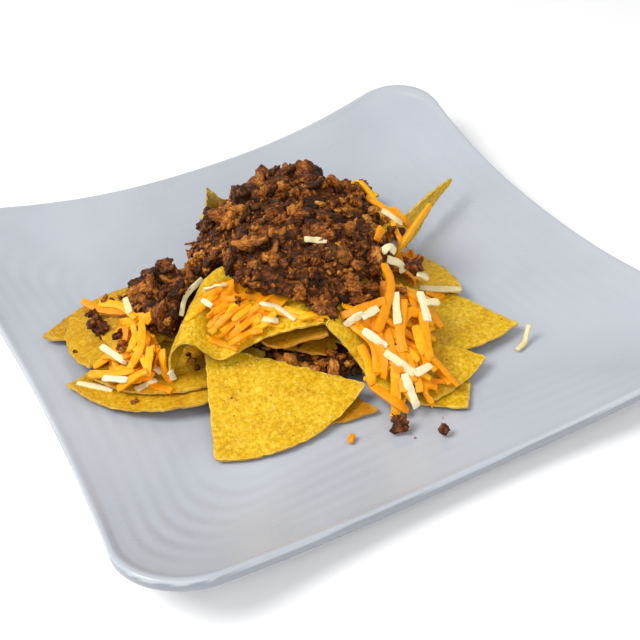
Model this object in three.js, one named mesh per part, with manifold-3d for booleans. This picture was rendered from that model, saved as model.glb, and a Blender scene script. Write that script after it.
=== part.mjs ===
// Nachos on their plate: fried corn chips under shredded cheese and crumbled beef.
// Millimetres, +Z up. The origin is the middle of the plate's foot, on the table.
// The pile is laid in the order a cook lays it, and each new piece rests on what is
// already there, which a height map of the pile keeps.
import * as THREE from 'three';
import { mergeVertices } from 'three/addons/utils/BufferGeometryUtils.js';
import Module from 'manifold-3d';

const wasm = await Module();
wasm.setup();

// Plate: a square dish with pulled-in sides and raised, rounded corners
const plateHalf = 143.8; // centre to the middle of a side
const sideHollow = 9.1; // how far a side's middle lies inside its ends
const cornerRadius = 30;
const cornerHeight = 31.5;
const sideHeight = 17;
const wellHeight = 5.5;
const wallThickness = 4.6;
const rimSlope = 58; // width of the sloping band inside the rim
const slopePower = 1.7; // how the slope steepens towards the rim
const ribPitch = 7.5;
const ribDepth = 0.2;
const ribCount = 7;
const firstRib = 11;
const footInset = 48;
const footWidth = 3.5;
const footLift = 0.8; // of the bottom inside the foot ring
const thinnest = 1.6; // lowest the underside comes outside the foot
const arcSteps = 6;
// Rounded rim from its inner to its outer side: inset, and height from the rim's crown
const rimProfile = [[2.2, -0.4], [0.9, 0], [0, -1], [0, -4.6], [1.6, -7.6], [5.5, -10]];

// Pile
const gap = 0.35; // clearance between touching pieces
const cutGap = 0.55; // the same where a fused heap is cut clear of a piece
const chipThickness = 1.8;
const chipRows = 7;
const chipReach = 5; // how near a lower piece counts when a chip settles
const easing = 0.3; // slope at which a lifted chip comes down again
const heapReach = 4.5;
const coarseness = 6; // unevenness of the crumbled beef
const shredWidth = 3;
const shredHeight = 2.2;
const shredStep = 9;
const shredReach = 5.5;
const shredBend = 0.9; // steepest slope of a strip laid over an edge
const shredClimb = 11;
const goldenAngle = Math.PI * (3 - Math.sqrt(5));
const mapCell = 1.25;
const mapReach = 150;

const yellow = { color: 0xe0b93c, roughness: 0.6, metalness: 0 };
const orange = { color: 0xf5a512, roughness: 0.45, metalness: 0 };
const cream = { color: 0xefe4bd, roughness: 0.45, metalness: 0 };
const brown = { color: 0x5c3417, roughness: 0.7, metalness: 0 };
const greyWhite = { color: 0xc9cfd8, roughness: 0.3, metalness: 0 };

const model = new THREE.Group();
const placed = [];

function addMesh(name, geometry, look) {
  const mesh = new THREE.Mesh(geometry, new THREE.MeshStandardMaterial(look));
  mesh.name = name;
  model.add(mesh);
  placed.push(geometry);
  pile.raise(geometry);
}

function seeded(seed) {
  let state = seed * 2654435761 + 12345;
  return () => {
    state = (Math.imul(state ^ (state >>> 15), 2246822519) + 3266489917) >>> 0;
    return state / 4294967296;
  };
}

// Height map of all that is placed so far
class HeightMap {
  constructor() {
    this.count = Math.round((2 * mapReach) / mapCell);
    this.cells = new Float32Array(this.count * this.count).fill(-1);
  }

  index(value) {
    return Math.round((value + mapReach) / mapCell - 0.5);
  }

  raise(geometry) {
    const position = geometry.getAttribute('position');
    const order = geometry.getIndex();
    const corner = [new THREE.Vector3(), new THREE.Vector3(), new THREE.Vector3()];
    for (let i = 0; i < order.count; i += 3) {
      corner.forEach((point, k) => point.fromBufferAttribute(position, order.getX(i + k)));
      this.raiseTriangle(...corner);
    }
  }

  raiseTriangle(a, b, c) {
    const area = (b.x - a.x) * (c.y - a.y) - (c.x - a.x) * (b.y - a.y);
    if (Math.abs(area) < 1e-6) return;
    const low = this.index(Math.min(a.x, b.x, c.x));
    const high = this.index(Math.max(a.x, b.x, c.x));
    const near = this.index(Math.min(a.y, b.y, c.y));
    const far = this.index(Math.max(a.y, b.y, c.y));
    for (let ix = Math.max(0, low); ix <= Math.min(this.count - 1, high); ix++) {
      for (let iy = Math.max(0, near); iy <= Math.min(this.count - 1, far); iy++) {
        const x = (ix + 0.5) * mapCell - mapReach;
        const y = (iy + 0.5) * mapCell - mapReach;
        const v = ((x - a.x) * (c.y - a.y) - (c.x - a.x) * (y - a.y)) / area;
        const w = ((b.x - a.x) * (y - a.y) - (x - a.x) * (b.y - a.y)) / area;
        if (v < -0.05 || w < -0.05 || v + w > 1.05) continue;
        const z = a.z + v * (b.z - a.z) + w * (c.z - a.z);
        const at = ix * this.count + iy;
        this.cells[at] = Math.max(this.cells[at], z);
      }
    }
  }

  // Highest point within a reach of (x, y)
  top(x, y, reach) {
    const span = Math.ceil(reach / mapCell);
    const cx = this.index(x);
    const cy = this.index(y);
    let best = -1;
    for (let ix = cx - span; ix <= cx + span; ix++) {
      for (let iy = cy - span; iy <= cy + span; iy++) {
        if (ix < 0 || iy < 0 || ix >= this.count || iy >= this.count) continue;
        if ((ix - cx) ** 2 + (iy - cy) ** 2 > (span + 0.5) ** 2) continue;
        best = Math.max(best, this.cells[ix * this.count + iy]);
      }
    }
    return best;
  }
}

const pile = new HeightMap();

// Solids from points and triangles
function solidGeometry(points, triangles) {
  const geometry = new THREE.BufferGeometry();
  const values = new Float32Array(points.length * 3);
  points.forEach((point, i) => point.toArray(values, i * 3));
  geometry.setAttribute('position', new THREE.BufferAttribute(values, 3));
  geometry.setIndex(triangles.flat());
  geometry.computeVertexNormals();
  return geometry;
}

// Closed rings of equal count, joined one to the next, with both ends capped by fans
function loftRings(rings, firstCentre, lastCentre) {
  const around = rings[0].length;
  const points = [...rings.flat(), firstCentre, lastCentre];
  const triangles = [];
  for (let r = 0; r + 1 < rings.length; r++) {
    for (let i = 0; i < around; i++) {
      const next = (i + 1) % around;
      const a = r * around + i;
      const b = r * around + next;
      triangles.push([a, a + around, b], [b, a + around, b + around]);
    }
  }
  const first = rings.length * around;
  const lastRing = (rings.length - 1) * around;
  for (let i = 0; i < around; i++) {
    const next = (i + 1) % around;
    triangles.push([first, i, next]);
    triangles.push([first + 1, lastRing + next, lastRing + i]);
  }
  return solidGeometry(points, triangles);
}

// Plate outline as 8 arcs: four hollow sides and four round corners
function plateOutline() {
  const sideRadius = (plateHalf ** 2 + sideHollow ** 2) / (2 * sideHollow);
  const reach = plateHalf + sideRadius;
  const sum = (sideRadius + cornerRadius) ** 2;
  const middle = (2 * reach - Math.sqrt(4 * reach ** 2 - 8 * (reach ** 2 - sum))) / 4;
  const swing = Math.atan2(middle, reach - middle);
  const outline = [];
  for (let side = 0; side < 4; side++) {
    const turn = new THREE.Vector2();
    const spin = (side * Math.PI) / 2;
    for (let i = 0; i < arcSteps; i++) {
      const angle = THREE.MathUtils.lerp(-swing, swing, i / arcSteps);
      turn.set(sideRadius * Math.sin(angle), sideRadius * Math.cos(angle) - reach);
      outline.push(turn.clone().rotateAround(new THREE.Vector2(), spin));
    }
    const from = -Math.PI / 2 - swing;
    for (let i = 0; i < arcSteps; i++) {
      const angle = THREE.MathUtils.lerp(from, swing, i / arcSteps);
      turn.set(middle + cornerRadius * Math.cos(angle), cornerRadius * Math.sin(angle) - middle);
      outline.push(turn.clone().rotateAround(new THREE.Vector2(), spin));
    }
  }
  return outline;
}

function makePlate() {
  const outline = plateOutline();
  const farthest = Math.max(...outline.map((point) => point.length()));
  const nearest = Math.min(...outline.map((point) => point.length()));
  const rise = outline.map((point) => {
    const share = (point.length() - nearest) / (farthest - nearest);
    return sideHeight + (cornerHeight - sideHeight) * share ** 1.27;
  });
  // A ring at an inset from the rim; level maps a rim height to the ring's height
  const ring = (inset, level) =>
    outline.map((point, i) => {
      const scale = 1 - inset / nearest;
      return new THREE.Vector3(point.x * scale, point.y * scale, level(rise[i]));
    });
  const slope = (inset) => (rim) =>
    wellHeight + (rim - wellHeight) * Math.max(0, 1 - inset / rimSlope) ** slopePower;
  const under = (inset) => (rim) => Math.max(slope(inset)(rim) - wallThickness, thinnest);
  const flat = (height) => () => height;
  const rings = [];
  const lastRib = firstRib + ribPitch * (ribCount + 1);
  rings.push(ring(lastRib, slope(lastRib)));
  for (let rib = ribCount; rib >= 0; rib--) {
    const crest = firstRib + ribPitch * rib;
    const trough = crest + ribPitch / 2;
    rings.push(ring(trough, (rim) => slope(trough)(rim) - ribDepth));
    rings.push(ring(crest, (rim) => slope(crest)(rim) + ribDepth));
  }
  rings.push(ring(firstRib / 2, slope(firstRib / 2)));
  rimProfile.forEach(([inset, drop]) => rings.push(ring(inset, (rim) => rim + drop)));
  rings.push(ring(footInset / 2, under(footInset / 2)));
  rings.push(ring(footInset, flat(thinnest)));
  const foot = footInset + thinnest;
  rings.push(ring(foot, flat(0)));
  rings.push(ring(foot + footWidth, flat(0)));
  rings.push(ring(foot + footWidth + footLift, flat(footLift)));
  const top = new THREE.Vector3(0, 0, wellHeight);
  const bottom = new THREE.Vector3(0, 0, footLift);
  return loftRings(rings, top, bottom);
}

// Smallest rise at each sheet point that clears the pile, eased off with distance
function settle(points, reach, clear, slope = easing) {
  const rises = points.map((point) => {
    const floor = pile.top(point.x, point.y, reach) + clear;
    return Math.max(0, floor - point.z);
  });
  return points.map((point) => {
    let rise = 0;
    points.forEach((other, k) => {
      if (rises[k] === 0) return;
      const away = Math.hypot(point.x - other.x, point.y - other.y, point.z - other.z);
      rise = Math.max(rise, rises[k] - slope * away);
    });
    return new THREE.Vector3(point.x, point.y, point.z + rise);
  });
}

// Thin closed sheet about a triangulated middle surface, both faces split alike
function thicken(points, triangles, thickness) {
  const middle = solidGeometry(points, triangles);
  const normals = middle.getAttribute('normal');
  const faces = [];
  [0.5, -0.5].forEach((side) => {
    points.forEach((point, i) => {
      const normal = new THREE.Vector3().fromBufferAttribute(normals, i);
      faces.push(point.clone().addScaledVector(normal, side * thickness));
    });
  });
  const count = points.length;
  const used = new Map();
  triangles.forEach(([a, b, c]) => {
    [[a, b], [b, c], [c, a]].forEach(([from, to]) => used.set(`${from},${to}`, [from, to]));
  });
  const solid = [...triangles];
  triangles.forEach(([a, b, c]) => solid.push([a + count, c + count, b + count]));
  used.forEach(([from, to]) => {
    if (used.has(`${to},${from}`)) return;
    solid.push([from, from + count, to], [to, from + count, to + count]);
  });
  return solidGeometry(faces, solid);
}

// Chip cut as a sector of a round tortilla, bent a little when it was fried.
// tip is the sector's point; a and b are the ends of its round edge.
function addChip(name, { tip, a, b, swell = 0, bow = 0, cup = 0, wave = 0.8, seed = 1 }) {
  const random = seeded(seed);
  const origin = new THREE.Vector3(...tip);
  const first = new THREE.Vector3(...a).sub(origin);
  const second = new THREE.Vector3(...b).sub(origin);
  const angle = first.angleTo(second);
  const up = first.clone().cross(second).normalize();
  const flip = up.z < 0;
  if (flip) up.negate();
  const phase = [random(), random(), random()].map((value) => value * Math.PI * 2);
  const points = [];
  for (let row = 0; row <= chipRows; row++) {
    const s = row / chipRows;
    for (let column = 0; column <= row; column++) {
      const t = row === 0 ? 0.5 : column / row;
      const hump = 4 * t * (1 - t);
      const reach = THREE.MathUtils.lerp(first.length(), second.length(), t) * (1 + swell * hump);
      const toward = first.clone().normalize().multiplyScalar(Math.sin((1 - t) * angle));
      toward.addScaledVector(second.clone().normalize(), Math.sin(t * angle));
      toward.normalize().multiplyScalar(s * reach);
      const ripple = Math.sin(s * 7 + phase[0]) * Math.cos(t * 5 + phase[1]) * s;
      const height = bow * hump * s + cup * 4 * s * (1 - s) + wave * ripple;
      points.push(origin.clone().add(toward).addScaledVector(up, height));
    }
  }
  const triangles = [];
  const at = (row, column) => (row * (row + 1)) / 2 + column;
  for (let row = 0; row < chipRows; row++) {
    for (let column = 0; column <= row; column++) {
      triangles.push([at(row, column), at(row + 1, column), at(row + 1, column + 1)]);
      if (column < row) {
        triangles.push([at(row, column), at(row + 1, column + 1), at(row, column + 1)]);
      }
    }
  }
  if (flip) triangles.forEach((face) => face.reverse());
  const settled = settle(points, chipReach, gap + chipThickness * 0.6);
  addMesh(name, thicken(settled, triangles, chipThickness), yellow);
}

// Chip with a free shape: a sheet between two edge curves
function addCurvedChip(name, { front, back, rows, columns, bow = 0 }) {
  const near = new THREE.CatmullRomCurve3(front.map((point) => new THREE.Vector3(...point)));
  const far = new THREE.CatmullRomCurve3(back.map((point) => new THREE.Vector3(...point)));
  const points = [];
  for (let row = 0; row <= rows; row++) {
    for (let column = 0; column <= columns; column++) {
      const s = row / rows;
      const t = column / columns;
      const point = near.getPoint(t).lerp(far.getPoint(t), s);
      point.z += bow * 4 * s * (1 - s);
      points.push(point);
    }
  }
  const triangles = [];
  for (let row = 0; row < rows; row++) {
    for (let column = 0; column < columns; column++) {
      const a = row * (columns + 1) + column;
      const c = a + columns + 1;
      triangles.push([a, a + 1, c], [a + 1, c + 1, c]);
    }
  }
  const settled = settle(points, chipReach * 0.6, gap + chipThickness * 0.6);
  addMesh(name, thicken(settled, triangles, chipThickness), yellow);
}

// Booleans on closed meshes
function toSolid(geometry, tolerance) {
  const bare = new THREE.BufferGeometry();
  bare.setAttribute('position', geometry.getAttribute('position').clone());
  bare.setIndex(geometry.getIndex() ? geometry.getIndex().clone() : null);
  const merged = mergeVertices(bare, tolerance);
  const mesh = new wasm.Mesh({
    numProp: 3,
    vertProperties: new Float32Array(merged.getAttribute('position').array),
    triVerts: new Uint32Array(merged.getIndex().array),
  });
  return new wasm.Manifold(mesh);
}

function toGeometry(solid) {
  const mesh = solid.getMesh();
  const geometry = new THREE.BufferGeometry();
  geometry.setAttribute('position', new THREE.BufferAttribute(mesh.vertProperties, 3));
  geometry.setIndex([...mesh.triVerts]);
  geometry.computeVertexNormals();
  return geometry;
}

function largestBody(solid) {
  return solid.decompose().sort((a, b) => b.volume() - a.volume())[0];
}

// The same closed surface moved outwards
function grown(geometry, by) {
  const bigger = geometry.clone();
  const position = bigger.getAttribute('position');
  const normals = bigger.getAttribute('normal');
  const point = new THREE.Vector3();
  const outward = new THREE.Vector3();
  for (let i = 0; i < position.count; i++) {
    point.fromBufferAttribute(position, i);
    outward.fromBufferAttribute(normals, i);
    point.addScaledVector(outward, by);
    position.setXYZ(i, point.x, point.y, point.z);
  }
  return bigger;
}

// One body: the core with every piece that touches it, cut clear of what it lies on
function fuse(geometries) {
  const solids = geometries.map((piece) => toSolid(piece, 1e-4));
  let body = solids.reduce((whole, piece) => whole.add(piece));
  placed.forEach((other) => {
    if (body.intersect(toSolid(other, 1e-4)).isEmpty()) return;
    body = body.subtract(toSolid(grown(other, cutGap), 1e-4));
  });
  body = largestBody(body).simplify(0.1);
  return toGeometry(largestBody(toSolid(toGeometry(body), 2e-3)));
}

// Low heap whose underside follows the pile. top(x, y) is its upper surface, and each
// spoke ends where the heap would become thinner than its edge.
function heap({ centre, reach, spokes, rings, top, edge, rough = () => 0 }) {
  const [cx, cy] = centre;
  const clear = (x, y) => pile.top(x, y, heapReach) + gap;
  const angles = [...Array(spokes).keys()].map((i) => (i / spokes) * Math.PI * 2);
  const radii = angles.map((angle) => {
    const limit = reach(angle);
    let radius = 4;
    while (radius < limit) {
      const x = cx + radius * Math.cos(angle);
      const y = cy + radius * Math.sin(angle);
      if (top(x, y) - clear(x, y) < edge) break;
      radius += 1;
    }
    return radius - 1;
  });
  const ring = (share, height) => angles.map((angle, i) => {
    const x = cx + radii[i] * share * Math.cos(angle);
    const y = cy + radii[i] * share * Math.sin(angle);
    return new THREE.Vector3(x, y, height(x, y));
  });
  const upper = [];
  for (let step = 1; step <= rings; step++) {
    upper.push(ring(step / rings, (x, y) => Math.max(top(x, y) + rough(), clear(x, y) + edge)));
  }
  const lower = [1, 0.8, 0.55, 0.3].map((share) => ring(share, clear));
  const peak = new THREE.Vector3(cx, cy, top(cx, cy));
  const base = new THREE.Vector3(cx, cy, clear(cx, cy));
  return loftRings([...upper, ...lower], peak, base);
}

// Distance from a centre to a closed smooth outline, as a function of the angle
function reachTo(centre, outline) {
  const curve = new THREE.CatmullRomCurve3(
    outline.map(([x, y]) => new THREE.Vector3(x - centre[0], y - centre[1], 0)),
    true,
  );
  const samples = curve.getPoints(180).map((point) => ({
    angle: Math.atan2(point.y, point.x),
    away: point.length(),
  }));
  return (angle) => {
    const apart = (sample) => {
      const turn = sample.angle - angle;
      return Math.abs(Math.atan2(Math.sin(turn), Math.cos(turn)));
    };
    return samples.reduce((best, sample) => (apart(sample) < apart(best) ? sample : best)).away;
  };
}

// Crumb of beef: a rough lump of 20 faces, kept above the pile
function crumb(x, y, z, size, random) {
  const lump = mergeVertices(bareGeometry(new THREE.IcosahedronGeometry(1, 0)), 1e-4);
  const turn = new THREE.Euler(random() * 6, random() * 6, random() * 6);
  const stretch = new THREE.Vector3(1.25, 0.85, 0.75).multiplyScalar(size);
  const position = lump.getAttribute('position');
  const point = new THREE.Vector3();
  for (let i = 0; i < position.count; i++) {
    point.fromBufferAttribute(position, i).multiplyScalar(0.8 + 0.4 * random());
    point.multiply(stretch).applyEuler(turn);
    point.add(new THREE.Vector3(x, y, z));
    const floor = pile.top(point.x, point.y, 4) + gap;
    position.setXYZ(i, point.x, point.y, Math.max(point.z, floor));
  }
  return lump;
}

function bareGeometry(geometry) {
  geometry.deleteAttribute('normal');
  geometry.deleteAttribute('uv');
  return geometry;
}

// Shred of cheese: a flat strip along a path of [x, y], laid on the pile. It is left out
// where it would climb by more than its climb.
function shred(path, { rise = 0, height = shredHeight, width = shredWidth, climb = shredClimb }) {
  const flat = path.map(([x, y]) => new THREE.Vector3(x, y, 0));
  const curve = new THREE.CatmullRomCurve3(flat);
  const steps = Math.max(2, Math.round(curve.getLength() / shredStep));
  const middles = settle(curve.getPoints(steps), shredReach, gap + rise, shredBend);
  const levels = middles.map((middle) => middle.z);
  if (Math.max(...levels) - Math.min(...levels) > climb) return null;
  const rings = middles.map((middle, i) => {
    const along = curve.getTangent(i / steps);
    const side = new THREE.Vector3(-along.y, along.x, 0).multiplyScalar(width / 2);
    const left = middle.clone().add(side);
    const right = middle.clone().sub(side);
    const above = new THREE.Vector3(0, 0, height);
    return [left, right, right.clone().add(above), left.clone().add(above)];
  });
  const end = (middle) => middle.clone().add(new THREE.Vector3(0, 0, height / 2));
  return loftRings(rings, end(middles[0]), end(middles[steps]));
}

// Shreds laid at random over a patch, mostly along one heading
function shredFan({ from, count, spread, length, heading, layers, seed, width, climb }) {
  const random = seeded(seed);
  const pieces = [];
  for (let i = 0; i < count; i++) {
    const x = from[0] + (random() - 0.5) * 2 * spread[0];
    const y = from[1] + (random() - 0.5) * 2 * spread[1];
    const angle = THREE.MathUtils.degToRad(heading + (random() - 0.5) * 70);
    const half = (length * (0.7 + 0.6 * random())) / 2;
    const bend = (random() - 0.5) * 5;
    const dx = Math.cos(angle);
    const dy = Math.sin(angle);
    const path = [
      [x - dx * half, y - dy * half],
      [x - dy * bend, y + dx * bend],
      [x + dx * half, y + dy * half],
    ];
    pieces.push(shred(path, { rise: 1, height: shredHeight + layers * random(), width, climb }));
  }
  return pieces.filter((piece) => piece);
}

// Heap of cheese: a thin core that hugs the pile, with shreds fused on
function addCheese(name, { centre, outline, fans }) {
  const core = heap({
    centre,
    reach: reachTo(centre, outline),
    spokes: 12,
    rings: 2,
    top: (x, y) => pile.top(x, y, 4) + gap + 2,
    edge: 1.2,
  });
  const pieces = fans.flatMap(shredFan);
  addMesh(name, fuse([core, ...pieces]), orange);
}

// Loose pieces
function addCrumb(name, x, y, size, seed) {
  const floor = pile.top(x, y, size + 1) + gap;
  const random = seeded(seed);
  const lumps = [crumb(x, y, floor + size * 0.7, size, random)];
  lumps.push(crumb(x + size * 0.6, y + size * 0.3, floor + size * 0.8, size * 0.75, random));
  addMesh(name, fuse(lumps), brown);
}

function addShred(name, path, look) {
  addMesh(name, shred(path, {}), look);
}

// The plate
addMesh('plate', makePlate(), greyWhite);

// Lowest chips, on the plate
addChip('chip_left_low', { tip: [-66, 34, 9], a: [-130, 1, 11], b: [-44, -40, 11], swell: 0.05, bow: 2, seed: 1 });
addChip('chip_front_low', { tip: [-30, -20, 8], a: [-56, -62, 7], b: [-9, -84, 8], seed: 2 });
addChip('chip_right_low', { tip: [66, -48, 9], a: [-3, -30, 12], b: [25, -106, 7], seed: 3 });
addChip('chip_back_low', { tip: [2, 34, 9], a: [44, 94, 9], b: [-16, 106, 9], bow: 3, seed: 4 });
addChip('chip_back_right', { tip: [14, 24, 9], a: [84, 34, 8], b: [52, 84, 9], bow: 2, seed: 5 });

// Beef that fell between the layers
const innerBeef = heap({
  centre: [-14, -28],
  reach: (angle) => 31 + 5 * Math.cos(angle + 1.3),
  spokes: 18,
  rings: 4,
  top: (x, y) => 19 - ((x + 14) ** 2 + (y + 27) ** 2) / 230,
  edge: 2,
});
addMesh('beef_inner', fuse([innerBeef]), brown);

// Middle chips
addChip('chip_left_mid', { tip: [-60, 36, 14], a: [-120, 2, 12], b: [-40, -32, 14], swell: 0.05, bow: 1, seed: 6 });
addChip('chip_left_far', { tip: [-69, 1, 15], a: [-129, 41, 14], b: [-44, 58, 12], swell: -0.06, seed: 7 });
addChip('chip_left_over', { tip: [-54, 16, 18], a: [-117, 3, 12], b: [-112, 49, 16], swell: 0.03, seed: 8 });
addChip('chip_left_top', { tip: [-42, 20, 24], a: [-97, -7, 18], b: [-104, 34, 19], seed: 9 });
addChip('chip_right_far', { tip: [52, 0, 13], a: [79, -69, 11], b: [-12, -38, 16], seed: 10 });
addChip('chip_right_back', { tip: [5, -10, 24], a: [67, -37, 15], b: [60, 10, 13], swell: 0.06, seed: 11 });
addChip('chip_right_over', { tip: [0, -36, 17], a: [51, -82, 10], b: [14, -94, 10], swell: -0.01, seed: 12 });
addChip('chip_front', { tip: [-66, -18, 27], a: [-88, -74, 8], b: [-8, -71, 14], bow: 1, seed: 13 });

// Chips that show edge-on in the opening of the pile
addCurvedChip('chip_inner_low', {
  front: [[-34, -36, 22], [-23, -48, 22], [-16, -52, 21], [-12, -51, 23]],
  back: [[-28, -8, 20], [-18, -8, 22], [-8, -8, 22], [0, -12, 23]],
  rows: 4,
  columns: 5,
});
addCurvedChip('chip_inner_high', {
  front: [[-44, -37, 30], [-39, -43, 29], [-30, -47, 31], [-17, -53, 34]],
  back: [[-38, -4, 28], [-26, -4, 30], [-12, -8, 32], [2, -16, 34]],
  rows: 4,
  columns: 6,
});

// Folded chip in the middle: a flat side, a ridge and a side that curls down
addCurvedChip('chip_folded', {
  front: [
    [-14, -51, 38], [-25, -48, 39.5], [-42, -41, 36], [-56, -37, 30], [-66, -35, 27],
    [-72, -31, 34], [-78, -29, 39], [-83, -26, 37], [-86, -24, 27], [-86, -23, 17],
  ],
  back: [
    [0, -12, 42], [-9, -6, 44], [-18, 0, 45], [-26, 3, 46], [-34, 5, 47],
    [-41, 5, 48], [-48, 4, 48], [-55, 2, 45], [-61, 0, 36], [-64, -2, 26],
  ],
  rows: 5,
  columns: 16,
  bow: 1.5,
});

// Sloping chip on the right, under the cheese
addCurvedChip('chip_slope', {
  front: [[-19, -53, 38], [-14, -59, 32], [-9, -67, 22], [-6, -82, 14], [-2, -92, 11]],
  back: [[18, -24, 40], [26, -36, 29], [30, -48, 21], [31, -60, 16], [28, -70, 14]],
  rows: 6,
  columns: 8,
  bow: 2,
});

// Chips at the back
addCurvedChip('chip_standing', {
  front: [[63, 11, 11], [80, 25, 13], [96, 35, 18], [111, 41, 24]],
  back: [[60, 17, 28], [74, 24, 28], [92, 33, 27], [111, 42, 26]],
  rows: 3,
  columns: 8,
});
addCurvedChip('chip_back_tip', {
  front: [[-16, 98, 12], [2, 106, 14], [20, 104, 15], [36, 96, 16]],
  back: [[-20, 77, 46], [-11, 76, 35], [4, 77, 29], [20, 76, 25]],
  rows: 5,
  columns: 6,
});
addChip('chip_back_over', { tip: [20, 50, 22], a: [78, 64, 13], b: [54, 96, 12], bow: 3, seed: 14 });

// Cheese. On the right it runs down the sloping chip in wider strips.
const cascade = { layers: 3, width: 4, climb: 30 };
const low = { layers: 1.5, climb: 8 };
addCheese('cheese_right', {
  centre: [14, -58],
  outline: [[-9, -50], [-3, -66], [-1, -82], [5, -90], [16, -78], [27, -66], [38, -50], [46, -34], [40, -24], [20, -34]],
  fans: [
    { ...cascade, from: [10, -66], count: 9, spread: [9, 20], length: 28, heading: -70, seed: 21 },
    { ...cascade, from: [30, -42], count: 4, spread: [12, 12], length: 26, heading: -60, seed: 26 },
  ],
});
addCheese('cheese_back', {
  centre: [50, 2],
  outline: [[56, -24], [46, -28], [42, -10], [42, 6], [47, 20], [56, 24], [63, 14], [60, 2]],
  fans: [{ from: [51, -3], count: 7, spread: [7, 20], length: 24, heading: 70, layers: 2.5, seed: 27 }],
});
addCheese('cheese_centre', {
  centre: [-44, -20],
  outline: [[-62, -22], [-52, -32], [-36, -36], [-24, -38], [-26, -24], [-40, -8], [-56, -6]],
  fans: [{ from: [-44, -22], count: 8, spread: [15, 8], length: 22, heading: 50, layers: 2.5, seed: 23 }],
});
addCheese('cheese_left', {
  centre: [-94, -2],
  outline: [[-110, 0], [-104, -16], [-92, -21], [-84, -14], [-82, 4], [-85, 26], [-92, 30], [-97, 14]],
  fans: [
    { ...low, from: [-98, -8], count: 8, spread: [10, 9], length: 20, heading: -30, seed: 24 },
    { ...low, from: [-88, 10], count: 4, spread: [3, 14], length: 20, heading: -80, seed: 25 },
  ],
});

// Beef: a shelf on the left beside the folded chip, and the main heap over everything
function addBeef(name, { centre, outline, spokes, rings, top, crumbs, span, seed }) {
  const random = seeded(seed);
  const inside = reachTo(centre, outline);
  const rough = () => coarseness * (random() - 0.5);
  const core = heap({ centre, reach: inside, spokes, rings, top: (x, y) => top(x, y) - 2, edge: 3, rough });
  const lumps = [];
  for (let i = 0; i < crumbs; i++) {
    const angle = i * goldenAngle;
    const away = Math.sqrt((i + 0.5) / crumbs) * span;
    if (away > inside(angle) - 1) continue;
    const x = centre[0] + away * Math.cos(angle);
    const y = centre[1] + away * Math.sin(angle);
    const z = top(x, y) - 2;
    if (z < pile.top(x, y, 8) + gap + 1) continue;
    lumps.push(crumb(x, y, z, 4 + 2.5 * random(), random));
  }
  addMesh(name, fuse([core, ...lumps]), brown);
}

addBeef('beef_left', {
  centre: [-70, 12],
  outline: [[-78, -12], [-87, 4], [-88, 20], [-82, 36], [-66, 50], [-48, 44], [-50, 8], [-66, -8]],
  spokes: 20,
  rings: 4,
  top: (x, y) => 38 - 14 * (((x + 67) / 33) ** 2 + ((y - 18) / 36) ** 2),
  crumbs: 20,
  span: 38,
  seed: 31,
});

// The heap's upper surface is a flat-topped dome, drawn out to the front. Its slope is
// steadier on the left.
const domeCentre = new THREE.Vector2(-4, 19);
const domeHeight = 65.5;
const domeRadius = 77;
const frontRadius = 130;
const frontAngle = THREE.MathUtils.degToRad(64.5);
const domePower = 3;
const leftPower = 1.75;
function domeTop(x, y) {
  const point = new THREE.Vector2(x, y).sub(domeCentre);
  point.rotateAround(new THREE.Vector2(), -frontAngle);
  point.x /= point.x < 0 ? frontRadius : domeRadius;
  point.y /= domeRadius;
  const away = point.length();
  const leftward = away > 0 ? Math.max(0, point.y / away) : 0;
  const power = THREE.MathUtils.lerp(domePower, leftPower, leftward);
  return domeHeight * (1 - away ** power);
}

addBeef('beef_heap', {
  centre: [-6, 16],
  outline: [
    [43, 2], [37, -24], [22, -46], [12, -58], [2, -52], [-13, -46], [-24, -37], [-38, -25], [-48, -8],
    [-59, 8], [-58, 25], [-43, 50], [-28, 68], [-8, 82], [22, 82], [42, 62], [48, 30],
  ],
  spokes: 36,
  rings: 10,
  top: domeTop,
  crumbs: 62,
  span: 84,
  seed: 32,
});

// Loose beef and cheese around the pile
addCrumb('beef_loose_right', 41, -32, 6, 41);
addCrumb('beef_loose_back', 52, 2, 5, 42);
addCrumb('beef_loose_end', -8, -100, 4.8, 43);
addCrumb('beef_loose_plate', 6, -114, 3.4, 44);
addCrumb('beef_loose_left_a', -101, 40, 4, 45);
addCrumb('beef_loose_left_b', -105, 27, 4.2, 46);
addCrumb('beef_loose_left_c', -99, 9, 3.2, 47);
addShred('cheese_loose_right', [[69, -81], [75, -79], [81, -74]], cream);
addShred('cheese_loose_front', [[-31, -95], [-27, -91]], orange);

export default model;
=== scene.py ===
import math
import random

import bmesh
import bpy
import numpy as np
from mathutils import Euler, Matrix, Vector, noise
from mathutils.bvhtree import BVHTree


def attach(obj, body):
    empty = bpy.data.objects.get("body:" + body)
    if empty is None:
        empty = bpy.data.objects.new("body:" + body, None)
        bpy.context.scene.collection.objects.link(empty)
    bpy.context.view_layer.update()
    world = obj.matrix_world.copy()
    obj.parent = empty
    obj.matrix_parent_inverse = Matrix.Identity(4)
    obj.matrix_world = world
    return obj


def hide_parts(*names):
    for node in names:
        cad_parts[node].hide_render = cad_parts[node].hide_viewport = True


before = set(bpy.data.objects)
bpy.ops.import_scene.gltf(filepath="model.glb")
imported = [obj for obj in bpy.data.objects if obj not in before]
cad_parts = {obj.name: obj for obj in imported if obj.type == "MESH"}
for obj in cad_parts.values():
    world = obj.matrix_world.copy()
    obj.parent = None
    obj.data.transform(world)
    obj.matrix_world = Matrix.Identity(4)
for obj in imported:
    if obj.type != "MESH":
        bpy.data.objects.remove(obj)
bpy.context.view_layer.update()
mm = 0.001
print("frame loaded:", len(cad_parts), "nodes")

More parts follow.
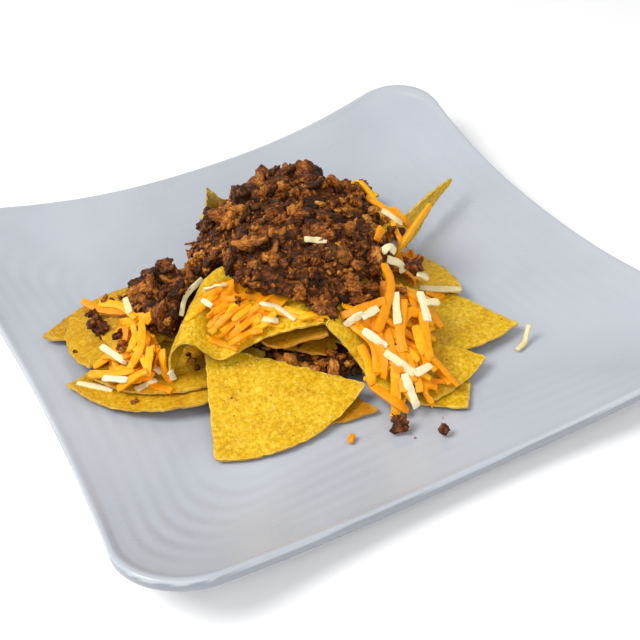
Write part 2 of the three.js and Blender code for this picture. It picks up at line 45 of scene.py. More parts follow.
# Camera at the photograph's view, solved from the plate's outline; millimetres
camera = {
    "place": (-203.05, -433.57, 381.09),
    "right": (0.88055758, -0.47057446, -0.0563739),
    "up": (0.3329573, 0.52957845, 0.78018338),
    "ahead": (0.33727997, 0.70576649, -0.62300552),
    "focalPixels": 1190.77,
    "photoPixels": 640,
    "sensor": 36,
}
cameraPlace = Vector(camera["place"]) * mm


def addCamera():
    data = bpy.data.cameras.new("photoCamera")
    data.sensor_width = camera["sensor"]
    data.lens = camera["focalPixels"] * camera["sensor"] / camera["photoPixels"]
    data.clip_start = 0.01
    shown = bpy.data.objects.new("photoCamera", data)
    bpy.context.scene.collection.objects.link(shown)
    turn = Matrix((camera["right"], camera["up"], [-value for value in camera["ahead"]]))
    shown.matrix_world = Matrix.Translation(cameraPlace) @ turn.transposed().to_4x4()
    bpy.context.scene.camera = shown


def photoRay(spot):
    # direction from the camera through a pixel of the 640-pixel picture
    half = camera["photoPixels"] / 2
    across = (spot[0] - half) / camera["focalPixels"]
    down = (spot[1] - half) / camera["focalPixels"]
    way = Vector(camera["ahead"]) + Vector(camera["right"]) * across
    return (way - Vector(camera["up"]) * down).normalized()


def photoSpot(point):
    # pixel of the picture at which a point of the scene shows
    away = point - cameraPlace
    depth = away.dot(Vector(camera["ahead"]))
    half = camera["photoPixels"] / 2
    across = away.dot(Vector(camera["right"])) / depth * camera["focalPixels"]
    up = away.dot(Vector(camera["up"])) / depth * camera["focalPixels"]
    return half + across, half - up


studio = {
    "fill": 0.55,
    "fillColour": (0.95, 0.97, 1.0),
    "lamps": (
        # place, size, watts, colour
        ((-0.95, 0.13, 1.3), 0.9, 21, (1.0, 0.985, 0.96)),
        ((-0.2, -1.0, 0.7), 1.2, 6.5, (1.0, 0.98, 0.95)),
    ),
    "aim": (0, 0, 0.03),
    "floorSize": 9,
    "floorColour": (0.93, 0.93, 0.93, 1),
}


def addStudio():
    world = bpy.data.worlds.new("softRoom")
    world.use_nodes = True
    sky = world.node_tree.nodes["Background"]
    sky.inputs["Color"].default_value = (*studio["fillColour"], 1)
    sky.inputs["Strength"].default_value = studio["fill"]
    bpy.context.scene.world = world
    for place, size, watts, colour in studio["lamps"]:
        lamp = bpy.data.lights.new("softLamp", "AREA")
        lamp.shape = "DISK"
        lamp.size = size
        lamp.energy = watts
        lamp.color = colour
        shown = bpy.data.objects.new("softLamp", lamp)
        shown.location = place
        aim = Vector(studio["aim"]) - shown.location
        shown.rotation_euler = aim.to_track_quat("-Z", "Y").to_euler()
        bpy.context.scene.collection.objects.link(shown)
    bpy.context.scene.view_settings.view_transform = "Standard"


def pick(piece):
    bpy.ops.object.select_all(action="DESELECT")
    piece.select_set(True)
    bpy.context.view_layer.objects.active = piece


def edit():
    bpy.ops.object.mode_set(mode="EDIT")
    bpy.ops.mesh.select_all(action="DESELECT")


def leaveEdit():
    bpy.ops.object.mode_set(mode="OBJECT")


def applyAll(piece):
    pick(piece)
    for modifier in list(piece.modifiers):
        bpy.ops.object.modifier_apply(modifier=modifier.name)


def readPoints(piece):
    points = np.empty(len(piece.data.vertices) * 3, np.float32)
    piece.data.vertices.foreach_get("co", points)
    return points.reshape(-1, 3).astype(float)


def readNormals(piece):
    normals = np.empty(len(piece.data.vertices) * 3, np.float32)
    piece.data.vertex_normals.foreach_get("vector", normals)
    return normals.reshape(-1, 3).astype(float)


def writePoints(piece, points):
    piece.data.vertices.foreach_set("co", points.astype(np.float32).ravel())
    piece.data.update()


def writeValues(piece, name, values):
    layer = piece.data.attributes.get(name)
    if layer is None:
        layer = piece.data.attributes.new(name, "FLOAT", "POINT")
    layer.data.foreach_set("value", np.asarray(values, np.float32))


def writeVectors(piece, name, values):
    layer = piece.data.attributes.new(name, "FLOAT_VECTOR", "POINT")
    layer.data.foreach_set("vector", np.asarray(values, np.float32).ravel())


def newPiece(name, points, faces):
    mesh = bpy.data.meshes.new(name)
    mesh.from_pydata([tuple(point) for point in points], [], faces)
    piece = bpy.data.objects.new(name, mesh)
    bpy.context.scene.collection.objects.link(piece)
    return piece


def copyNode(node, name):
    # own copy of a CAD solid, with its loose triangles merged
    piece = bpy.data.objects.new(name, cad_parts[node].data.copy())
    bpy.context.scene.collection.objects.link(piece)
    piece.data.materials.clear()
    pick(piece)
    if piece.data.has_custom_normals:
        bpy.ops.mesh.customdata_custom_splitnormals_clear()
    edit()
    bpy.ops.mesh.select_all(action="SELECT")
    bpy.ops.mesh.remove_doubles(threshold=0.02 * mm)
    bpy.ops.mesh.mark_sharp(clear=True)
    bpy.ops.mesh.select_all(action="DESELECT")
    leaveEdit()
    return piece


def finishPiece(piece, surface, slot, *nodes):
    piece.data.materials.clear()
    piece.data.materials.append(surface)
    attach(piece, "root")
    if nodes:
        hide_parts(*nodes)


def paint(code):
    # "#rrggbb" as shown on screen, to a scene colour
    values = [int(code[i : i + 2], 16) / 255 for i in (1, 3, 5)]
    linear = [v / 12.92 if v <= 0.04045 else ((v + 0.055) / 1.055) ** 2.4 for v in values]
    return (*linear, 1)


class Surface:
    # a node material built up from the principled shader
    def __init__(self, name):
        self.material = bpy.data.materials.new(name)
        self.material.use_nodes = True
        self.tree = self.material.node_tree
        self.shader = self.tree.nodes["Principled BSDF"]
        self.place = self.add("ShaderNodeTexCoord").outputs["Object"]

    def add(self, kind, settings=None, **inputs):
        node = self.tree.nodes.new(kind)
        for key, value in (settings or {}).items():
            setattr(node, key, value)
        for key, value in inputs.items():
            self.feed(node.inputs[key.replace("_", " ")], value)
        return node

    def feed(self, socket, value):
        if isinstance(value, bpy.types.NodeSocket):
            self.tree.links.new(value, socket)
        else:
            socket.default_value = value

    def grain(self, size, detail=3, rough=0.5, stretch=None, warp=0):
        # noise with features about size millimetres across
        place = self.place
        if stretch:
            place = self.add("ShaderNodeMapping", None, Vector=place, Scale=stretch).outputs[0]
        return self.add(
            "ShaderNodeTexNoise",
            None,
            Vector=place,
            Scale=1 / (size * mm),
            Detail=detail,
            Roughness=rough,
            Distortion=warp,
        ).outputs["Fac"]

    def cells(self, size, feature="F1"):
        return self.add(
            "ShaderNodeTexVoronoi", {"feature": feature}, Vector=self.place, Scale=1 / (size * mm)
        )

    def band(self, value, low, high, first=0.0, last=1.0):
        return self.add(
            "ShaderNodeMapRange",
            {"interpolation_type": "SMOOTHSTEP"},
            Value=value,
            From_Min=low,
            From_Max=high,
            To_Min=first,
            To_Max=last,
        ).outputs[0]

    def ramp(self, value, *stops):
        node = self.add("ShaderNodeValToRGB", None, Fac=value)
        line = node.color_ramp.elements
        while len(line) < len(stops):
            line.new(0.5)
        for stop, (where, code) in zip(line, stops):
            stop.position = where
            stop.color = paint(code)
        return node.outputs["Color"]

    def mix(self, amount, first, second, blend="MIX"):
        node = self.add("ShaderNodeMix", {"data_type": "RGBA", "blend_type": blend})
        for socket, value in zip((node.inputs[0], node.inputs[6], node.inputs[7]), (amount, first, second)):
            self.feed(socket, value)
        return node.outputs[2]

    def sum(self, first, second, operation="ADD"):
        node = self.add("ShaderNodeMath", {"operation": operation})
        self.feed(node.inputs[0], first)
        self.feed(node.inputs[1], second)
        return node.outputs[0]

    def value(self, name):
        return self.add("ShaderNodeAttribute", {"attribute_name": name}).outputs["Fac"]

    def bump(self, height, depth, strength=1.0, after=None):
        node = self.add("ShaderNodeBump", None, Height=height, Distance=depth * mm, Strength=strength)
        if after is not None:
            self.feed(node.inputs["Normal"], after)
        return node.outputs[0]


def tortillaSurface():
    # fried corn: mottled yellow, bubbles with a painted highlight, toasted specks, painted highlight on the cut
    # edge, painted shade underneath and on the chips in the pile's shade
    s = Surface("friedCorn")
    base = s.ramp(
        s.grain(11, 4, 0.6, warp=0.8),
        (0.28, "#bc8606"),
        (0.42, "#d6a406"),
        (0.56, "#e2b40c"),
        (0.74, "#f0cc3c"),
    )
    grit = s.ramp(s.grain(1.9, 5, 0.72), (0.36, "#9c6c02"), (0.5, "#d4a608"), (0.66, "#f6de60"))
    base = s.mix(0.5, base, grit)
    bubbles = s.cells(3.1)
    mark = s.band(bubbles.outputs["Distance"], 0.08, 0.24, 1.0, 0.0)
    keep = s.band(s.grain(8, 2), 0.5, 0.6)
    bubbleHighlight = s.sum(mark, keep, "MULTIPLY")
    # painted highlight: a pale spot on each kept blister
    base = s.mix(s.sum(bubbleHighlight, 0.55, "MULTIPLY"), base, paint("#f7e084"))
    specks = s.cells(4.6)
    rare = s.add("ShaderNodeSeparateColor", None, Color=specks.outputs["Color"]).outputs[0]
    speck = s.sum(
        s.band(specks.outputs["Distance"], 0.05, 0.13, 1.0, 0.0), s.band(rare, 0.66, 0.7), "MULTIPLY"
    )
    base = s.mix(s.sum(speck, 0.9, "MULTIPLY"), base, paint("#4a2a06"))
    toast = s.band(s.grain(19, 3), 0.54, 0.74)
    base = s.mix(s.sum(toast, 0.5, "MULTIPLY"), base, paint("#c07c08"))
    # painted highlight: the cut edge of the sheet is paled
    base = s.mix(s.sum(s.band(s.value("rim"), 0.93, 1.0), 0.4, "MULTIPLY"), base, paint("#eccf70"))
    # painted shade: faces turned downwards are darkened towards red-brown
    base = s.mix(s.sum(s.value("under"), 0.85, "MULTIPLY"), base, paint("#7c3404"))
    # painted shade: red-brown in the tunnel under the folded chip and on the chips inside the pile; the left chips
    # also get a little of this colour all over
    base = s.mix(s.sum(s.value("brown"), 0.6, "MULTIPLY"), base, paint("#a04c06"))
    s.feed(s.shader.inputs["Base Color"], base)
    s.feed(s.shader.inputs["Roughness"], s.band(s.grain(5, 3), 0.35, 0.7, 0.3, 0.62))
    s.shader.inputs["Specular IOR Level"].default_value = 0.2
    s.shader.inputs["Subsurface Weight"].default_value = 0.1
    s.shader.inputs["Subsurface Radius"].default_value = (1.0, 0.55, 0.06)
    s.shader.inputs["Subsurface Scale"].default_value = 2 * mm
    fine = s.bump(s.grain(1.3, 5, 0.75), 0.42)
    raised = s.bump(s.sum(s.band(bubbles.outputs["Distance"], 0.0, 0.4, 1.0, 0.0), keep, "MULTIPLY"), 0.5, 0.9, fine)
    s.feed(s.shader.inputs["Normal"], s.bump(speck, 0.25, -0.8, raised))
    return s.material


def beefSurface():
    # fried crumbled beef: torn fibres along each crumb, painted shade in the crevices, bits of orange fat
    s = Surface("crumbledBeef")
    s.place = s.add("ShaderNodeAttribute", {"attribute_name": "own"}).outputs["Vector"]
    fibre = s.grain(0.95, 4, 0.65, stretch=(0.2, 1, 1), warp=0.5)
    lump = s.grain(3.4, 3, 0.6)
    tone = s.sum(s.sum(fibre, 0.6, "MULTIPLY"), s.sum(lump, 0.4, "MULTIPLY"))
    tone = s.sum(tone, s.sum(s.value("tone"), 0.2, "MULTIPLY"))
    base = s.ramp(
        tone,
        (0.42, "#241002"),
        (0.52, "#582a08"),
        (0.6, "#8c4a10"),
        (0.68, "#b8701e"),
        (0.78, "#e0a048"),
    )
    fat = s.band(s.grain(2.3, 4, 0.6), 0.6, 0.7)
    base = s.mix(s.sum(fat, 0.55, "MULTIPLY"), base, paint("#b05c08"))
    # painted shade: crevices, the sunk cores and the foot of each crumb are darkened almost to black
    base = s.mix(s.sum(s.value("hollow"), 0.85, "MULTIPLY"), base, paint("#180700"))
    s.feed(s.shader.inputs["Base Color"], base)
    s.feed(s.shader.inputs["Roughness"], s.band(s.grain(1.8, 3), 0.35, 0.7, 0.25, 0.65))
    s.shader.inputs["Specular IOR Level"].default_value = 0.26
    first = s.bump(fibre, 0.9)
    s.feed(s.shader.inputs["Normal"], s.bump(s.grain(0.5, 3, 0.7), 0.2, 0.8, first))
    return s.material


def cheeseSurface(name, pale, full, deep, glow):
    s = Surface(name)
    base = s.ramp(
        s.sum(s.sum(s.grain(3, 3), 0.5, "MULTIPLY"), s.sum(s.value("tone"), 0.5, "MULTIPLY")),
        (0.2, deep),
        (0.5, full),
        (0.8, pale),
    )
    s.feed(s.shader.inputs["Base Color"], base)
    s.feed(s.shader.inputs["Roughness"], s.band(s.grain(3, 3), 0.3, 0.7, 0.36, 0.56))
    s.shader.inputs["Specular IOR Level"].default_value = 0.28
    s.shader.inputs["Subsurface Weight"].default_value = 0.3
    s.shader.inputs["Subsurface Radius"].default_value = glow
    s.shader.inputs["Subsurface Scale"].default_value = 1.6 * mm
    s.feed(s.shader.inputs["Normal"], s.bump(s.grain(0.9, 4, 0.6), 0.14))
    return s.material


def plateSurface():
    # glazed blue-grey white ware, with painted shade on the outer wall under the rim
    s = Surface("glazedWare")
    base = s.ramp(s.grain(60, 2), (0.3, "#aeb3bb"), (0.7, "#b6bbc3"))
    # painted shade: the outer wall under the rim is darkened
    base = s.mix(s.sum(s.value("wall"), 0.7, "MULTIPLY"), base, paint("#6c717c"))
    s.feed(s.shader.inputs["Base Color"], base)
    s.feed(s.shader.inputs["Roughness"], s.band(s.grain(30, 3), 0.3, 0.7, 0.26, 0.36))
    s.shader.inputs["Specular IOR Level"].default_value = 0.5
    s.shader.inputs["Coat Weight"].default_value = 0.3
    s.shader.inputs["Coat Roughness"].default_value = 0.15
    return s.material


def floorSurface():
    s = Surface("paleFloor")
    base = s.mix(s.grain(300, 2), studio["floorColour"], (0.95, 0.95, 0.95, 1))
    s.feed(s.shader.inputs["Base Color"], base)
    s.shader.inputs["Roughness"].default_value = 0.9
    return s.material


corn = tortillaSurface()
beef = beefSurface()
cheddar = cheeseSurface("cheddarCheese", "#f8b812", "#f2a004", "#e68a00", (1.0, 0.5, 0.03))
jack = cheeseSurface("jackCheese", "#eee2bc", "#e6d8aa", "#d8c590", (1.0, 0.82, 0.45))
ware = plateSurface()
addCamera()
addStudio()
bpy.ops.mesh.primitive_plane_add(size=studio["floorSize"])
floor = bpy.context.object
floor.name = "floor"
floor.data.materials.append(floorSurface())
print("camera, light and materials ready")

plate = {
    "half": 143.8,
    "sideHollow": 9.1,
    "cornerRadius": 30,
    "cornerHeight": 31.5,
    "sideHeight": 17,
    "well": 5.5,
    "wall": 4.6,
    "slope": 58,
    "ribPitch": 7.5,
    "ribDepth": 0.08,
    "ribFade": 38,  # size of the patches where the ribs are weaker
    "firstRib": 11,
    "lastRib": 72,
    "ribSteps": 6,
    "foot": 48,
    "arcSteps": 16,
    # outer rim, inset and height from the crown
    "rimInside": ((0.12, -0.55), (0.45, -0.15), (0.9, 0), (1.5, -0.1), (2.4, -0.45)),
    "rimOutside": ((0, -2.6), (0, -4.6), (0.5, -6.2), (1.6, -7.7), (3.2, -9), (5.5, -10)),
    # band of the outer wall, by its drop below the crown, that gets painted shade
    "wallTop": 1.4,
    "wallEnd": 7.4,
}


def plateOutline():
    half, hollow, corner = plate["half"], plate["sideHollow"], plate["cornerRadius"]
    sideRadius = (half**2 + hollow**2) / (2 * hollow)
    reach = half + sideRadius
    total = (sideRadius + corner) ** 2
    middle = (2 * reach - math.sqrt(4 * reach**2 - 8 * (reach**2 - total))) / 4
    swing = math.atan2(middle, reach - middle)
    points = []
    for side in range(4):
        quarter = []
        for i in range(plate["arcSteps"]):
            angle = -swing + 2 * swing * i / plate["arcSteps"]
            quarter.append((sideRadius * math.sin(angle), sideRadius * math.cos(angle) - reach))
        start = -math.pi / 2 - swing
        for i in range(plate["arcSteps"]):
            angle = start + (swing - start) * i / plate["arcSteps"]
            quarter.append((middle + corner * math.cos(angle), corner * math.sin(angle) - middle))
        turn = Matrix.Rotation(side * math.pi / 2, 2)
        points += [turn @ Vector(point) for point in quarter]
    return points


def makePlate():
    outline = plateOutline()
    nearest = min(point.length for point in outline)
    farthest = max(point.length for point in outline)

    def rimHeight(length):
        share = max(0, (length - nearest) / (farthest - nearest))
        return plate["sideHeight"] + (plate["cornerHeight"] - plate["sideHeight"]) * share**1.27

    def slope(inset, rim):
        return plate["well"] + (rim - plate["well"]) * max(0, 1 - inset / plate["slope"]) ** 1.7

    def ribbed(inset, rim, spot):
        wave = math.cos(2 * math.pi * (inset - plate["firstRib"]) / plate["ribPitch"])
        fade = max(0, min(1, (inset - 6) / 6, (plate["lastRib"] + 4 - inset) / 8))
        uneven = 0.75 + 1.1 * noise.noise(Vector((*spot, inset)) / plate["ribFade"])
        return slope(inset, rim) + plate["ribDepth"] * wave * fade * max(0.15, uneven)

    def smooth(inset, rim, spot):
        return slope(inset, rim)

    def under(inset, rim, spot):
        return max(slope(inset, rim) - plate["wall"], 1.6)

    def flat(height):
        return lambda inset, rim, spot: height

    steps = round((plate["lastRib"] - 6) / plate["ribPitch"] * plate["ribSteps"])
    upper = [*plate["rimInside"], (4.2, smooth)]
    for step in range(steps + 1):
        upper.append((6 + (plate["lastRib"] - 6) * step / steps, ribbed))
    upper += [(80, smooth), (100, smooth), (125, smooth)]
    foot = plate["foot"]
    lower = [
        *plate["rimOutside"],
        (24, under),
        (35, under),
        (foot - 1, flat(1.6)),
        (foot + 1.2, flat(0.2)),
        (foot + 1.8, flat(0)),
        (foot + 4.9, flat(0)),
        (foot + 5.6, flat(0.3)),
        (foot + 6.4, flat(0.8)),
        (90, flat(0.8)),
        (120, flat(0.8)),
    ]
    bpy.ops.mesh.primitive_circle_add(vertices=len(outline), radius=plate["half"])
    piece = bpy.context.object
    piece.name = "squarePlate"
    for vertex, point in zip(piece.data.vertices, outline):
        vertex.co = (point.x, point.y, rimHeight(point.length) - 1.4)

    def runRings(rings):
        scale = 1
        for inset, level in rings:
            bpy.ops.mesh.extrude_edges_indiv()
            mesh = bmesh.from_edit_mesh(piece.data)
            wanted = 1 - inset / nearest
            for vertex in mesh.verts:
                if not vertex.select:
                    continue
                spot = vertex.co.to_2d() / scale
                rim = rimHeight(spot.length)
                height = level(inset, rim, spot) if callable(level) else rim + level
                vertex.co = (*(spot * wanted), height)
            bmesh.update_edit_mesh(piece.data)
            scale = wanted
        bpy.ops.mesh.extrude_edges_indiv()
        bpy.ops.mesh.merge(type="CENTER")

    pick(piece)
    edit()
    bpy.ops.mesh.select_all(action="SELECT")
    runRings(upper)
    bpy.ops.mesh.select_mode(type="EDGE")
    bpy.ops.mesh.select_all(action="DESELECT")
    bpy.ops.mesh.select_non_manifold(extend=False)
    runRings(lower)
    bpy.ops.mesh.select_all(action="SELECT")
    bpy.ops.mesh.normals_make_consistent(inside=False)
    bpy.ops.mesh.select_mode(type="VERT")
    leaveEdit()
    points = readPoints(piece)
    reach = np.linalg.norm(points[:, :2], axis=1)
    angles = np.array([math.atan2(point.y, point.x) for point in outline])
    lengths = np.array([point.length for point in outline])
    order = np.argsort(angles)
    edge = np.interp(np.arctan2(points[:, 1], points[:, 0]), angles[order], lengths[order])
    drop = np.array([rimHeight(length) for length in edge]) - points[:, 2]
    # band of the outer wall that gets painted shade
    paintedShadeWall = (drop > plate["wallTop"]) & (drop < plate["wallEnd"]) & (edge - reach < 1.2)
    writeValues(piece, "wall", paintedShadeWall)
    writePoints(piece, points * mm)
    bpy.ops.object.shade_smooth()
    finishPiece(piece, ware, "plate", "plate")
    return piece


platePiece = makePlate()
print("plate made:", len(platePiece.data.polygons), "faces")

chip = {
    "levels": 3,
    "sharpEdge": 48,  # degrees, where the sheet's faces meet its cut edge
    "crease": 0.9,
    "blister": 0.42,
    "blisterSize": 4.6,
    "ragged": 0.7,
    "raggedSize": 3.4,
    "thin": 0.32,  # taken off each face of the CAD sheet
    "wave": 0.6,
    "waveSize": 17,
    "upright": ("chip_back_tip", "chip_standing"),  # yellow on both faces: only a little painted shade on the lower face
    "tunnel": (-58, -12),  # middle of the left chips' part below the folded chip
    "tunnelReach": 13,
    "leftBrown": 0.4,  # the left chips are a little darker all over
    "shadedInside": ("chip_inner_low", "chip_inner_high", "chip_front_low"),
}


def makeChip(node):
    piece = copyNode(node, node.replace("chip", "tortilla"))
    pick(piece)
    edit()
    bpy.ops.mesh.select_all(action="SELECT")
    bpy.ops.mesh.tris_convert_to_quads(
        face_threshold=math.radians(50), shape_threshold=math.radians(60)
    )
    bpy.ops.mesh.select_mode(type="EDGE")
    bpy.ops.mesh.select_all(action="DESELECT")
    bpy.ops.mesh.edges_select_sharp(sharpness=math.radians(chip["sharpEdge"]))
    bpy.ops.transform.edge_crease(value=chip["crease"])
    bpy.ops.mesh.select_mode(type="VERT")
    leaveEdit()
    # edge mask: used for the ragged edges and, in the corn surface, for a painted highlight
    rim = [float(vertex.select) for vertex in piece.data.vertices]
    writeValues(piece, "rim", rim)
    smooth = piece.modifiers.new("smooth", "SUBSURF")
    smooth.levels = smooth.render_levels = chip["levels"]
    applyAll(piece)
    roughenChip(piece, 0.15 if node in chip["upright"] else 1)
    # painted shade: the chips inside the pile, and the left chips' part under the folded chip, are darkened
    brown = np.full(len(piece.data.vertices), float(node in chip["shadedInside"]))
    if node.startswith("chip_left"):
        away = readPoints(piece)[:, :2] / mm - np.array(chip["tunnel"])
        brown = np.clip(1.5 - np.linalg.norm(away, axis=1) / chip["tunnelReach"], 0, 1) * 1.5
        brown = np.maximum(brown, chip["leftBrown"])
    writeValues(piece, "brown", brown)
    bpy.ops.object.shade_smooth()
    finishPiece(piece, corn, "chip", node)
    return piece


def roughenChip(piece, downShadeShare):
    points, normals = readPoints(piece), readNormals(piece)
    rim = np.empty(len(points), np.float32)
    piece.data.attributes["rim"].data.foreach_get("value", rim)
    offset = Vector((len(piece.name), len(piece.data.vertices) % 17, 0))
    moved = points.copy()
    for i, point in enumerate(points):
        spot = Vector(point) / mm
        blister = noise.noise(spot / chip["blisterSize"] + offset)
        raised = max(0, blister - 0.05) * 2 * chip["blister"]
        moved[i] += normals[i] * (raised * (1 - rim[i]) - chip["thin"]) * mm
        moved[i][2] += noise.noise(spot / chip["waveSize"] + offset) * chip["wave"] * mm
        if rim[i] > 0.8:
            ragged = noise.noise_vector(spot / chip["raggedSize"] + offset)
            share = (rim[i] - 0.8) / 0.2
            moved[i] += np.array(ragged) * chip["ragged"] * mm * share
    writePoints(piece, moved)
    # painted shade: the mask grows as a face turns downwards; upright chips get only a little of it
    writeValues(piece, "under", downShadeShare * np.clip(-1.8 * normals[:, 2], 0, 1))


chipPieces = [makeChip(node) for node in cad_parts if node.startswith("chip_")]
print("chips made:", len(chipPieces))

beefCore = {
    "voxel": 1.15,
    "sunk": 1.1,
    "lump": 1.6,
    "lumpSize": 5.2,
    "grain": 0.7,
    "grainSize": 1.9,
}


def cellDome(spot, size):
    # 1 in the middle of a cell of lumps, 0 in the crevice between two
    distances, _ = noise.voronoi(spot / size)
    return min(1, (distances[1] - distances[0]) * 1.5)


def makeBeefCore(node, name, voxel, sunk=0):
    piece = copyNode(node, name)
    remesh = piece.modifiers.new("even", "REMESH")
    remesh.mode = "VOXEL"
    remesh.voxel_size = voxel * mm
    soften = piece.modifiers.new("soften", "SMOOTH")
    soften.iterations = 3
    soften.factor = 0.6
    applyAll(piece)
    points, normals = readPoints(piece), readNormals(piece)
    hollow = np.zeros(len(points))
    for i, point in enumerate(points):
        spot = Vector(point) / mm
        warped = spot + noise.noise_vector(spot / 6) * 2.6
        dome = cellDome(warped, beefCore["lumpSize"])
        fine = noise.noise(spot / beefCore["grainSize"])
        rise = (dome - 0.55) * beefCore["lump"] + fine * beefCore["grain"] - sunk
        # painted shade in the crevices between lumps
        hollow[i] = 1 - min(1, dome * 2.2)
        if normals[i][2] > -0.5:
            points[i] += normals[i] * rise * mm
    writePoints(piece, points)
    writeVectors(piece, "own", points)
    # painted shade: the sunk cores under the crumbs are darkened at least this much
    writeValues(piece, "hollow", np.maximum(hollow, 0.35 if sunk else 0))
    writeValues(piece, "tone", np.full(len(points), 0.25))
    bpy.ops.object.shade_smooth()
    finishPiece(piece, beef, "beef", node)
    return piece


beefCores = [
    makeBeefCore("beef_heap", "beefHeap", beefCore["voxel"], beefCore["sunk"]),
    makeBeefCore("beef_left", "beefShelf", beefCore["voxel"], beefCore["sunk"]),
    makeBeefCore("beef_inner", "beefBetween", 1.4),
]
looseNodes = [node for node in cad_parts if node.startswith("beef_loose")]
loosePieces = [
    makeBeefCore(node, node.replace("beef_loose", "beefChunk"), 0.7) for node in looseNodes
]
print("beef cores made")


def shapeLump(divisions, seed, rough, stretch):
    # one torn crumb of unit size: a ball cut by flat faces, then roughened
    bpy.ops.mesh.primitive_ico_sphere_add(subdivisions=divisions, radius=1)
    lump = bpy.context.object
    dice = random.Random(seed)
    faces = [
        (Vector([dice.gauss(0, 1) for _ in range(3)]).normalized(), dice.uniform(0.5, 0.9))
        for _ in range(12)
    ]
    shift = Vector((seed * 3.7, seed * 1.3, seed * 2.1))
    for vertex in lump.data.vertices:
        way = vertex.co.normalized()
        reach = 1.15
        for normal, offset in faces:
            facing = way.dot(normal)
            if facing > 0.05:
                reach = min(reach, offset / facing)
        spot = way * 1.5 + shift
        knob = noise.noise(spot) * rough - abs(noise.noise(spot * 2.3)) * rough * 0.9
        knob += noise.noise(spot * 5) * 0.22 * rough - abs(noise.noise(spot * 9)) * 0.16 * rough
        vertex.co = way * max(0.3, reach * (1.1 + knob)) * Vector(stretch)
    points = readPoints(lump)
    shape = [tuple(face.vertices) for face in lump.data.polygons]
    bpy.data.objects.remove(lump)
    return points, shape


crumbLimits = (6.5, 69)  # lowest and highest point of a crumb
bareInPicture = ((186, 219), (186, 220))  # kept free of crumbs: the chip tip behind the heap
crumbKinds = {
    "beefLumps": {
        "count": 150, "size": (4.0, 7.6), "divisions": 4, "sink": 0.45, "rough": 0.62, "seed": 3,
        "stretch": (1.25, 1, 0.85),
    },
    "beefCrumbs": {
        "count": 460, "size": (1.6, 3.6), "divisions": 3, "sink": 0.25, "rough": 0.6, "seed": 5,
        "stretch": (1.2, 1, 0.8),
    },
    "beefGrit": {
        "count": 950, "size": (0.6, 1.4), "divisions": 2, "sink": 0.1, "rough": 0.6, "seed": 7,
        "stretch": (1.4, 0.9, 0.7),
    },
    "beefStrands": {
        "count": 70, "size": (1.0, 1.6), "divisions": 3, "sink": -0.2, "rough": 0.5, "seed": 9,
        "stretch": (2.9, 0.6, 0.45),
    },
}


def surfaceSpots(pieces, count, dice, lowest):
    # random places on the pieces' open faces, spread evenly by area
    # (a remesh may number its faces in another order each time, so they are sorted by place)
    openFaces = []
    for piece in pieces:
        for face in piece.data.polygons:
            if face.normal.z > lowest:
                openFaces.append((tuple(face.center), tuple(face.normal), face.area))
    openFaces.sort()
    chosen = dice.choices(openFaces, weights=[area for _, _, area in openFaces], k=count)
    return [(Vector(centre), Vector(normal)) for centre, normal, _ in chosen]


def scatterCrumbs(name, pieces, row):
    dice = random.Random(row["seed"])
    shapes = [
        shapeLump(row["divisions"], row["seed"] * 10 + i, row["rough"], row["stretch"])
        for i in range(9)
    ]
    points, faces, tones, own, hollow = [], [], [], [], []
    start = 0
    for centre, normal in surfaceSpots(pieces, row["count"], dice, -0.15):
        shape, shapeFaces = dice.choice(shapes)
        size = dice.uniform(*row["size"]) * mm
        # flat side mostly to the heap, turned at random about it
        lean = Euler((dice.gauss(0, 0.5), dice.gauss(0, 0.5), dice.uniform(0, 2 * math.pi)))
        turn = normal.to_track_quat("Z", "Y").to_matrix() @ lean.to_matrix()
        middle = centre + normal * size * (dice.uniform(0.1, 0.75) - row["sink"])
        placedShape = shape @ np.array(turn).T * size + np.array(middle)
        if placedShape[:, 2].min() < crumbLimits[0] * mm or placedShape[:, 2].max() > crumbLimits[1] * mm:
            continue
        seen = photoSpot(middle)
        if all(low < spot < high for spot, (low, high) in zip(seen, bareInPicture)):
            continue
        points.append(placedShape)
        faces += [tuple(v + start for v in face) for face in shapeFaces]
        tones += [dice.random()] * len(shape)
        own.append(shape * size + np.array([dice.uniform(0, 1) for _ in range(3)]))
        # painted shade: darker towards where the crumb meets the heap
        above = (placedShape - np.array(centre)) @ np.array(normal)
        hollow.append(np.clip(1 - above / (0.55 * size), 0, 1))
        start += len(shape)
    piece = newPiece(name, np.concatenate(points), faces)
    writeValues(piece, "tone", tones)
    writeValues(piece, "hollow", np.concatenate(hollow))
    writeVectors(piece, "own", np.concatenate(own))
    pick(piece)
    bpy.ops.object.shade_smooth()
    finishPiece(piece, beef, "beef")
    return piece


crumbPieces = [scatterCrumbs(name, beefCores, row) for name, row in crumbKinds.items()]
print("beef crumbs scattered")

cheeseBed = {"voxel": 0.8, "sunk": 0.9}
cheeseNodes = ("cheese_right", "cheese_back", "cheese_centre", "cheese_left")


def makeCheeseBed(node, name, surface, sunk):
    piece = copyNode(node, name)
    remesh = piece.modifiers.new("even", "REMESH")
    remesh.mode = "VOXEL"
    remesh.voxel_size = cheeseBed["voxel"] * mm
    soften = piece.modifiers.new("soften", "SMOOTH")
    soften.iterations = 4
    soften.factor = 0.5
    applyAll(piece)
    writePoints(piece, readPoints(piece) - readNormals(piece) * sunk * mm)
    bpy.ops.object.shade_smooth()
    # painted shade: the beds under the strips get darker, deeper orange tones; the loose cheese gets the same darker
    # tones
    tones = [0.2 + 0.3 * noise.noise(vertex.co * 150) for vertex in piece.data.vertices]
    writeValues(piece, "tone", tones)
    finishPiece(piece, surface, "cheese", node)
    return piece


def joinTree(pieces):
    points, faces = [], []
    start = 0
    for piece in pieces:
        points += [vertex.co.copy() for vertex in piece.data.vertices]
        faces += [[v + start for v in face.vertices] for face in piece.data.polygons]
        start += len(piece.data.vertices)
    return BVHTree.FromPolygons(points, faces)


